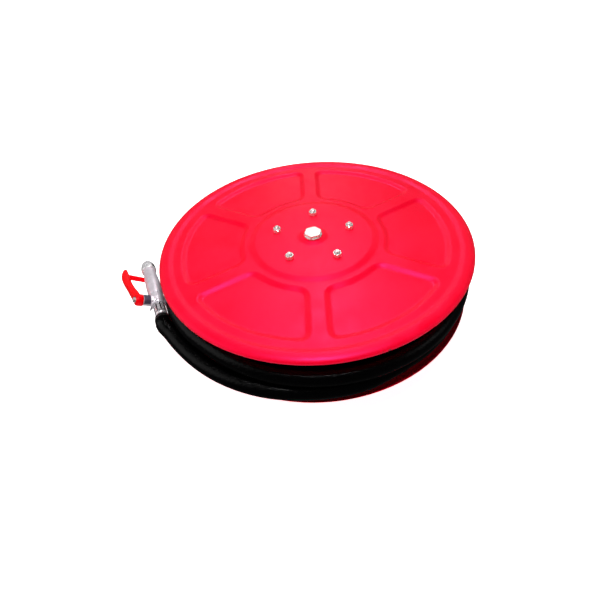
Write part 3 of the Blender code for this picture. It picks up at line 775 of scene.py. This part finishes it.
def threaded(r, z0, z1, pitch, depth, seg=24, point=0.8):
    """Rod with thread ridges from z0 up to a chamfered point at z1."""
    prof = [(0, z0), (r, z0)]
    z = z0
    while z + pitch < z1 - point:
        prof += [(r, z + 0.15 * pitch), (r - depth, z + 0.5 * pitch), (r, z + 0.85 * pitch)]
        z += pitch
    prof += [(r, z1 - point), (r - point, z1), (0, z1)]
    return lathe(prof, seg)


for i, ang in enumerate(BOLT_ANGLES):
    at = Matrix.Translation(polar(BOLT_CIRCLE, ang, 0))
    turn = math.radians(ang * 0.7 + 11 * i)
    nut = hex_solid(13.0, 155.6, 162.2, turn, True, True, 0.8, 36)
    nut = boolean(nut, lathe([(0, 150), (5.2, 150), (5.2, 155.9), (4.35, 156.7), (4.35, 161.1), (5.2, 162.0), (5.2, 170), (0, 170)], 24))
    piece("nut_face_%d" % (i + 1), moved(nut, at), "zinc_steel", "drum", ("nut_%d" % (i + 1),), sharp=25)
    head = hex_solid(13.0, 41.1, 46.4, turn, False, True, 0.8, 36)
    shank = threaded(3.9, 140.0, 166.3, 1.25, 0.45)
    shank = merged(shank)
    body = lathe([(0, 45.5), (3.9, 45.5), (3.9, 140.4), (0, 140.4)], 24)
    bm = boolean(boolean(head, body, "UNION"), shank, "UNION")
    piece("tie_bolt_turned_%d" % (i + 1), moved(bm, at), "zinc_steel", "drum", ("tie_bolt_%d" % (i + 1),), sharp=25)

piece("axle_washer_turned", lathe(fillet([(8.7, 159.3), (16, 159.3), (16, 161.6), (8.7, 161.6)], 0.5, 3), 96), "zinc_steel",
      "bracket", ("axle_washer",), sharp=30)
head = hex_solid(27.0, 161.9, 166.3, math.radians(15), True, False, 0.5, 96, 0.55)
bm = boolean(head, rod(7.8, 132, 163.5, 32), "UNION")
piece("axle_bolt_turned", bm, "zinc_steel", "bracket", ("axle_bolt",), sharp=25)

# ------------------------------------------------------------------ hose
SIDE_IN = lambda p: Vector((-p.x, -p.y, 0)).normalized()


def monotone(keys, x):
    xs = [-k[0] for k in keys]
    ys = [k[1] for k in keys]
    x = -x
    n = len(xs)
    d = [(ys[i + 1] - ys[i]) / (xs[i + 1] - xs[i]) for i in range(n - 1)]
    m = [d[0]] + [0.0 if d[i - 1] * d[i] <= 0 else 2 * d[i - 1] * d[i] / (d[i - 1] + d[i])
                  for i in range(1, n - 1)] + [d[-1]]
    i = max(0, min(n - 2, max([j for j in range(n) if xs[j] <= x + 1e-9] or [0])))
    h = xs[i + 1] - xs[i]
    t = (x - xs[i]) / h
    return ((2 * t ** 3 - 3 * t ** 2 + 1) * ys[i] + (t ** 3 - 2 * t ** 2 + t) * h * m[i]
            + (-2 * t ** 3 + 3 * t ** 2) * ys[i + 1] + (t ** 3 - t ** 2) * h * m[i + 1])


def lead_path(step):
    keys = [(96, ROW_R[1], -54), (80, ROW_R[1] + 6, -54), (64, ROW_R[1] + 22, -54)] + LEAD
    pts = []
    ang = keys[0][0]
    while ang > keys[-1][0] + 1.5:
        pts.append(polar(monotone([(k[0], k[1]) for k in keys], ang), ang,
                         Z_FRONT + monotone([(k[0], k[2]) for k in keys], ang)))
        ang -= step
    end = PIVOT + A * HOSE_END
    tail = [end - A * k for k in (9, 6, 3, 0)]
    # ease from the last turn into the straight end
    p0, t0 = pts[-1], (pts[-1] - pts[-2]).normalized()
    p1, t1 = tail[0], A
    gap = (p1 - p0).length
    k = max(3, int(gap / 4.5))
    for j in range(1, k):
        s = j / k
        h00, h10 = 2 * s ** 3 - 3 * s ** 2 + 1, s ** 3 - 2 * s ** 2 + s
        h01, h11 = -2 * s ** 3 + 3 * s ** 2, s ** 3 - s ** 2
        pts.append(p0 * h00 + t0 * (gap * h10) + p1 * h01 + t1 * (gap * h11))
    pts += tail
    # three passes of averaging take the facets out of the keyed turns
    for _ in range(3):
        q = list(pts)
        for i in range(1, len(pts) - 5):
            q[i] = (pts[i - 1] + pts[i] * 2 + pts[i + 1]) / 4
        pts = q
    return pts


path = lead_path(1.0)
radii = [HOSE_R] * (len(path) - 4) + [13.8, 13.6, 13.45, 13.3]
tang = [(path[min(i + 1, len(path) - 1)] - path[max(i - 1, 0)]).normalized() for i in range(len(path))]
tang[-1] = A.copy()
tube(path, radii, 40, SIDE_IN, "hose_free_turns", "hose_rubber", "drum", ("hose_lead",), tang=tang, bore=9.9)


def ring_path(r, z, step, wob):
    pts = []
    k = int(360 / step)
    for i in range(k):
        a = 360.0 * i / k
        pts.append(polar(r, a, z))
    return pts


# wound layers: one ring-shaped core with every layer's ridge, and the outer layer's rows on it
LAYER_R = [121.0, 149.0, 177.0, 205.0, 228.0]
loop = []
for r in LAYER_R:
    for a in (150, 120, 90, 60, 30):
        loop.append((r + HOSE_R * math.cos(math.radians(a)), ROW_Z[0] + HOSE_R * math.sin(math.radians(a))))
for zc, rc in zip(ROW_Z, ROW_R):
    for a in (50, 25, 0, -25, -50):
        loop.append((rc - 2 + HOSE_R * math.cos(math.radians(a)), zc + HOSE_R * math.sin(math.radians(a))))
for r in reversed(LAYER_R[:-1]):
    for a in (-30, -60, -90, -120, -150):
        loop.append((r + HOSE_R * math.cos(math.radians(a)), ROW_Z[-1] + HOSE_R * math.sin(math.radians(a))))
loop = [(max(r, 107.0), z) for r, z in loop]
loop += [(107.0, ROW_Z[-1] - 7), (107.0, ROW_Z[0] + 7)]
piece("hose_layers", lathe(loop, 144), "hose_rubber", "drum", ("hose_pack",), sharp=60)


def outer_row(name, r, z):
    seg, n = 32, 300
    verts, faces, fuv = [], [], []
    circ = 2 * math.pi * HOSE_R * MM
    for i in range(n):
        a = 2 * math.pi * i / n
        for k in range(seg):
            b = 2 * math.pi * k / seg + math.pi
            rr = r + HOSE_R * math.cos(b)
            verts.append((rr * math.cos(a) * MM, rr * math.sin(a) * MM, (z + HOSE_R * math.sin(b)) * MM))
    for i in range(n):
        i2 = (i + 1) % n
        for k in range(seg):
            k2 = (k + 1) % seg
            faces.append((i * seg + k, i2 * seg + k, i2 * seg + k2, i * seg + k2))
            u0, u1 = 2 * math.pi * r * MM * i / n, 2 * math.pi * r * MM * (i + 1) / n
            v0, v1 = circ * k / seg, circ * (k + 1) / seg
            fuv += [(u0, v0), (u1, v0), (u1, v1), (u0, v1)]
    me = bpy.data.meshes.new(name)
    me.from_pydata(verts, [], faces)
    layer = me.uv_layers.new(name="UVMap")
    layer.data.foreach_set("uv", [c for uv in fuv for c in uv])
    bm = bmesh.new()
    bm.from_mesh(me)
    bmesh.ops.recalc_face_normals(bm, faces=bm.faces)
    bm.to_mesh(me)
    bm.free()
    me.materials.append(M["hose_rubber"])
    me.polygons.foreach_set("use_smooth", [True] * len(me.polygons))
    ob = bpy.data.objects.new(name, me)
    bpy.context.scene.collection.objects.link(ob)
    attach(ob, "drum")


for i, (r, z) in enumerate(zip(ROW_R, ROW_Z)):
    outer_row("hose_outer_row_%d" % (i + 1), r, z)

# ------------------------------------------------------------------ nozzle
def local(name, bm, mat, body, nodes, sharp=35.0):
    return piece(name, moved(bm, NOZZLE), mat, body, nodes, sharp=sharp)


# ball-valve body, cast in one with its stem boss and stop lug
ball = lathe([(0, -12), (11.0, -12), (11.7, -11.5), (11.9, -11.0), (11.9, -9.0), (11.6, -8.3), (11.0, -7.6), (11.3, -5.5), (12.2, -2),
              (12.6, 2), (12.6, 6), (12.4, 10), (12.4, 14), (0, 14)], 72, "X")
boss = lathe([(0, 2), (10.2, 8), (9.8, 12), (9.6, 14), (9.6, 24.7), (9.1, 25.3), (0, 25.3)], 56, "Y", phase=0.05)
lug = moved(lathe([(0, -3), (2.9, -3), (2.3, 3), (1.5, 7.6), (0.9, 9.0), (0, 9.3)], 24), axis_matrix((-5.0, 8.0, -8.0), (-0.38, 0.30, -0.87)))
bm = cast([ball, boss, lug], 0.42, 5)
bm = boolean(bm, lathe([(0, -15), (8.3, -15), (8.3, -9.5), (10.2, -9.5), (10.2, 17), (0, 17)], 48, "X", phase=0.03))
bm = boolean(bm, lathe([(0, 0), (4.5, 0), (4.5, 19.6), (6.4, 19.6), (6.4, 28), (0, 28)], 36, "Y"))
local("nozzle_body_casting", bm, "nozzle_aluminium", "drum", ("nozzle_body",), sharp=50)

barrel = fillet([(5.5, 9.9), (9.7, 9.9), (9.7, 14.3), (12.5, 14.3), (12.75, 19), (12.9, 24), (13.05, 30), (13.1, 36), (13.1, 43), (13.0, 49),
                 (12.8, 55), (12.55, 59), (12.25, 63.5), (11.8, 70), (11.35, 75), (11.0, 80), (10.7, 85), (7.6, 85), (7.6, 93), (6.5, 93),
                 (6.5, 95.4), (7.6, 95.4), (7.6, 99.5), (5.5, 99.5)], 0.35, 3)
local("nozzle_barrel_casting", lathe(barrel, 72, "X"), "nozzle_aluminium", "drum", ("nozzle_barrel",), sharp=40)


def knurl(r, s, t):
    """Shallow grip flutes round the tip's collar."""
    if r > 12.9 and 88.0 < s < 96.0:
        return r - 0.22 * max(0.0, math.cos(20 * t)) ** 2
    return r


tip = fillet([(8.1, 85.4), (12.1, 85.4), (12.9, 86.1), (13.3, 87.4), (13.45, 89.5), (13.4, 93), (13.2, 96.5), (12.8, 99), (12.3, 101.2), (11.7, 103.2),
              (11.0, 105.2), (10.3, 107.2), (9.6, 108.9), (8.3, 110.4), (4.4, 110.4), (3.2, 108.4), (3.2, 101.6), (5.2, 100.2), (8.1, 99.9)], 0.3, 3)
local("spray_tip_turned", lathe(tip, 160, "X", shape=knurl), "tip_aluminium", "spray_tip_body", ("spray_tip",), sharp=40)


def grip(r, s, t):
    """Flutes along the hose tail's grip."""
    if r > 9.9 and -31.5 < s < -14.2:
        return r - 1.0 * smooth01((math.cos(9 * t) - 0.35) / 0.35)
    return r


tail = [(6.5, HOSE_END - 12), (8.6, HOSE_END - 12), (9.2, HOSE_END - 9), (9.2, HOSE_END + 0.2), (9.5, HOSE_END + 0.4),
        (9.5, -38.5), (10.0, -38.0), (10.2, -37.4), (10.2, -34.0), (9.9, -33.3), (9.3, -32.9), (9.3, -32.3), (10.1, -31.6), (10.2, -31.0),
        (10.2, -27), (10.2, -23), (10.2, -19), (10.2, -15.2), (10.1, -14.4), (9.3, -13.8), (9.3, -13.2), (10.2, -12.5), (10.2, -12.35),
        (7.9, -12.35), (7.9, -9.9), (6.5, -9.9)]
local("hose_tail_turned", lathe(tail, 144, "X", shape=grip), "tail_aluminium", "drum", ("hose_tail",), sharp=32)

cuff = fillet([(10.0, HOSE_END + 0.5), (13.4, HOSE_END + 0.5), (13.35, HOSE_END + 2.4), (12.6, HOSE_END + 5.0), (11.9, SHANK_END - 1.4),
               (11.2, SHANK_END - 0.4), (10.0, SHANK_END - 0.4)], 0.5, 3)
local("hose_cuff", lathe(cuff, 72, "X"), "cuff_rubber", "drum", ("hose_sleeve",), sharp=50)

# ------------------------------------------------------------------ lever
leg = [Vector(p) for p in ((-3, 32.6, 0.5), (8, 33.6, -2.6), (24, 34.6, -6.4), (42, 37.1, -9.8), (60, 39.5, -12.4),
                           (76, 40.4, -14.0), (88, 40.0, -14.6), (97, 39.0, -14.8), (105.0, 37.2, -15.0))]
half_b = [5.2, 7.0, 7.6, 6.8, 7.0, 7.3, 6.6, 5.0, 2.4]
half_n = [7.0, 6.8, 6.0, 5.4, 5.0, 4.8, 4.6, 4.0, 2.6]


def spline(vals, t):
    """Catmull-Rom through vals, t from 0 to len - 1."""
    i = min(int(t), len(vals) - 2)
    f = t - i
    g = lambda j: vals[min(max(j, 0), len(vals) - 1)]
    a, b, c, d = g(i - 1), g(i), g(i + 1), g(i + 2)
    return (b * 2 + (c - a) * f + (a * 2 - b * 5 + c * 4 - d) * f ** 2 + (b * 3 - a - c * 3 + d) * f ** 3) * 0.5


pts, hb, hn = [], [], []
steps = 56
for k in range(steps + 1):
    t = (len(leg) - 1) * k / steps
    pts.append(spline(leg, t))
    hb.append(spline(half_b, t))
    hn.append(spline(half_n, t))
bm = bmesh.new()
rings = []
for k, p in enumerate(pts):
    t = (pts[min(k + 1, steps)] - pts[max(k - 1, 0)]).normalized()
    ub = (Vector((0, 1, 0)) - t * t.y).normalized()
    un = t.cross(ub)
    ring = []
    for j in range(28):
        a = 2 * math.pi * j / 28
        ca, sa = math.cos(a), math.sin(a)
        ring.append(bm.verts.new(p + ub * ((hb[k] - 0.1) * math.copysign(abs(ca) ** 0.6, ca))
                                 + un * ((hn[k] - 0.1) * math.copysign(abs(sa) ** 0.6, sa))))
    rings.append(ring)
for ra, rb in zip(rings, rings[1:]):
    for j in range(28):
        bm.faces.new((ra[j], ra[(j + 1) % 28], rb[(j + 1) % 28], rb[j]))
bm.faces.new(rings[0])
bm.faces.new(rings[-1])
hub = lathe(fillet([(0, 26.05), (10.3, 26.05), (10.3, 34.2), (9.2, 37.4), (8.6, 38.0), (0, 38.0)], 0.9, 4), 64, "Y", phase=0.04)
bar = moved(lathe(fillet([(0, -8.9), (4.5, -8.9), (4.6, 14), (4.9, 34), (4.9, 38), (0, 38)], 2.0, 4), 40, "Y", phase=0.06),
            Matrix.Translation((80.1, 0, -16.3)) @ Matrix.Rotation(math.radians(-9.7), 4, "Z"))
bm = cast([bm, hub, bar], 0.45, 5)
bm = boolean(bm, block(-3.2, 3.2, 20, 45, -3.2, 3.2))
bm = boolean(bm, rod(5.6, 36.5, 50, 40, "Y", phase=0.02))
local("lever_casting", bm, "lever_red", "lever", ("lever",), sharp=50)

screw = lathe(fillet([(0, 28.5), (1.75, 28.5), (1.75, 36.8), (5.2, 36.8), (5.2, 38.1), (3.4, 38.1), (3.4, 38.9), (4.8, 38.9),
                      (4.8, 40.5), (4.2, 41.3), (2.4, 41.7), (0, 41.7)], 0.25, 3), 56, "Y")
screw = boolean(screw, block(-6, 6, 39.9, 44, -0.8, 0.8))
local("lever_screw_turned", screw, "zinc_steel", "lever", ("lever_screw",), sharp=30)

# ------------------------------------------------------------------ bracket
plate = block(-100, 100, -100, 100, 0, 5)
edges = [e for e in plate.edges if abs(e.verts[0].co.z - e.verts[1].co.z) > 1]
bmesh.ops.bevel(plate, geom=edges, offset=16, segments=10, profile=0.5, affect="EDGES")
edges = [e for e in plate.edges if abs(e.verts[0].co.z - e.verts[1].co.z) < 0.01]
bmesh.ops.bevel(plate, geom=edges, offset=0.6, segments=3, profile=0.5, affect="EDGES")
cut = []
for sx in (-1, 1):
    for sy in (-1, 1):
        cut.append(moved(rod(5.5, -2, 8, 32), Matrix.Translation((sx * 82, sy * 82, 0))))
        cut.append(moved(rod(4.7, -2, 8, 24), Matrix.Translation((sx * 30, sy * 30, 0))))
piece("mount_plate_sheet", boolean(plate, merged(*cut)), "red_plain", "bracket", ("mount_plate",), sharp=35)

PT = 5.0
body = lathe(fillet([(0, PT + 0.3), (55, PT + 0.3), (55, 13.5), (30, 14.5), (26, 18.5), (26, 45.6), (18, 45.6), (18, 82), (15, 82), (15, 86),
                     (18, 86), (18, 116), (15, 116), (15, 120), (18, 120), (18, 138), (14, 138), (14, 159.0), (0, 159.0)], 0.6, 3), 96)
port = moved(lathe(fillet([(0, 0), (19.4, 0), (19.4, 58), (0, 58)], 0.8, 3), 72), axis_matrix((0, 0, 25.3), (0, -1, 0)))
bm = boolean(body, port, "UNION")
# pipe thread in the inlet socket
prof = [(0, 31), (10, 31), (16.0, 34)]
z = 34.5
while z < 56.0:
    prof += [(16.6, z), (16.6, z + 0.5), (15.7, z + 1.15), (15.7, z + 1.35), (16.6, z + 2.1)]
    z += 2.31
prof += [(16.6, 57.0), (17.3, 58.0), (17.3, 61), (0, 61)]
bm = boolean(bm, moved(lathe(prof, 64), axis_matrix((0, 0, 25.3), (0, -1, 0))))
bm = boolean(bm, rod(8.5, 127, 162, 32))
cut = merged(*[moved(rod(4.7, -2, 30, 24), Matrix.Translation((sx * 30, sy * 30, 0))) for sx in (-1, 1) for sy in (-1, 1)])
bm = boolean(bm, cut)
piece("spindle_turned", bm, "brass", "bracket", ("spindle",), sharp=32)

n = 0
for sx in (-1, 1):
    for sy in (-1, 1):
        n += 1
        bm = lathe(fillet([(0, 0.8), (4.0, 0.8), (4.0, 14.2), (6.5, 14.2), (6.5, 21.2), (0, 21.2)], 0.5, 3), 48)
        bm = boolean(bm, lathe([(0, 17.2), (3.5, 17.2), (3.5, 23), (0, 23)], 6, phase=0.2 * n))
        piece("flange_screw_turned_%d" % n, moved(bm, Matrix.Translation((sx * 30, sy * 30, 0))), "zinc_steel", "bracket",
              ("flange_screw_%d" % n,), sharp=30)

# ------------------------------------------------------------------ stage, light, camera
def stage_mesh():
    """Floor that curves up into a back wall."""
    prof = [(-3.0, 0.0), (2.2, 0.0)]
    for k in range(1, 13):
        a = math.radians(90 * k / 12)
        prof.append((2.2 + 1.0 * math.sin(a), 1.0 - 1.0 * math.cos(a)))
    prof.append((3.2, 4.0))
    me = bpy.data.meshes.new("floor")
    verts, faces = [], []
    for y, z in prof:
        verts += [(-5, y, z - 0.0004), (5, y, z - 0.0004)]
    for i in range(len(prof) - 1):
        faces.append((2 * i, 2 * i + 1, 2 * i + 3, 2 * i + 2))
    me.from_pydata(verts, [], faces)
    me.polygons.foreach_set("use_smooth", [True] * len(me.polygons))
    return me


floor = bpy.data.objects.new("studio_floor", stage_mesh())
bpy.context.scene.collection.objects.link(floor)
fm = bpy.data.materials.new("studio_white")
fm.use_nodes = True
fp = fm.node_tree.nodes["Principled BSDF"]
fp.inputs["Base Color"].default_value = (0.93, 0.93, 0.93, 1)
fp.inputs["Roughness"].default_value = 0.9
fp.inputs["Specular IOR Level"].default_value = 0.0
fp.inputs["Emission Color"].default_value = (1, 1, 1, 1)
fp.inputs["Emission Strength"].default_value = 0.92
floor.data.materials.append(fm)
floor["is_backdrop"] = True
floor.visible_glossy = False


def area(name, loc, target, size, energy, color=(1, 1, 1)):
    d = bpy.data.lights.new(name, "AREA")
    d.shape = "RECTANGLE"
    d.size, d.size_y = size
    d.energy = energy
    d.color = color
    o = bpy.data.objects.new(name, d)
    o.location = loc
    o.rotation_euler = (Vector(target) - Vector(loc)).to_track_quat("-Z", "Y").to_euler()
    bpy.context.scene.collection.objects.link(o)
    return o


area("key_overhead", (0.02, -0.36, 1.12), (0, -0.04, 0.14), (0.26, 0.20), 9.5)
area("key_middle", (0.02, 0.05, 1.20), (0, -0.04, 0.14), (0.22, 0.18), 2.6)
area("haze_back", (0.02, 0.78, 1.30), (0, -0.20, 0.155), (0.28, 0.24), 4.2)
area("strip_back", (0.0, 1.15, 0.60), (0, 0.2, 0.155), (0.35, 0.2), 0.30)
area("card_back", (0.0, 1.15, 1.04), (0, 0, 0.16), (0.26, 0.20), 0.30)
area("card_left", (-1.2, -0.3, 0.8), (-0.25, -0.05, 0.1), (1.4, 1.2), 6)
area("fill_right", (1.4, -0.4, 0.9), (0.2, 0, 0.1), (0.7, 0.7), 1.2)

world = bpy.data.worlds.new("studio")
bpy.context.scene.world = world
world.use_nodes = True
bg = world.node_tree.nodes["Background"]
bg.inputs["Color"].default_value = (1, 1, 1, 1)
bg.inputs["Strength"].default_value = 0.05


def camera():
    e, yaw, pitch, roll = (math.radians(v) for v in (37.41, 2.39, 7.99, -4.16))
    d = 2.894 * 0.275
    loc = Vector((0, -d * math.cos(e), d * math.sin(e)))
    fwd = -loc.normalized()
    right = Vector((1, 0, 0))
    up = right.cross(fwd)
    rows = Matrix((right, -up, fwd))

    def rx(a):
        c, s = math.cos(a), math.sin(a)
        return Matrix(((1, 0, 0), (0, c, -s), (0, s, c)))

    def ry(a):
        c, s = math.cos(a), math.sin(a)
        return Matrix(((c, 0, s), (0, 1, 0), (-s, 0, c)))

    def rz(a):
        c, s = math.cos(a), math.sin(a)
        return Matrix(((c, -s, 0), (s, c, 0), (0, 0, 1)))

    r = rz(roll) @ rx(pitch) @ ry(yaw) @ rows
    x, y, z = Vector(r[0]), -Vector(r[1]), -Vector(r[2])
    cam = bpy.data.cameras.new("camera")
    cam.sensor_width = 36.0
    cam.lens = 442.4 * 36.0 / 600.0
    cam.shift_x = (300.0 - 299.1) / 600.0
    cam.clip_start = 0.02
    cam.clip_end = 50
    o = bpy.data.objects.new("camera", cam)
    loc = loc + Vector((0, 0, Z_FRONT * MM))
    o.matrix_world = Matrix(((x.x, y.x, z.x, loc.x), (x.y, y.y, z.y, loc.y), (x.z, y.z, z.z, loc.z), (0, 0, 0, 1)))
    bpy.context.scene.collection.objects.link(o)
    bpy.context.scene.camera = o


camera()
bpy.context.scene.view_settings.view_transform = "Standard"
bpy.context.scene.view_settings.look = "None"

{"cad": CAD_BOX, "visual": plain(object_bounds())}
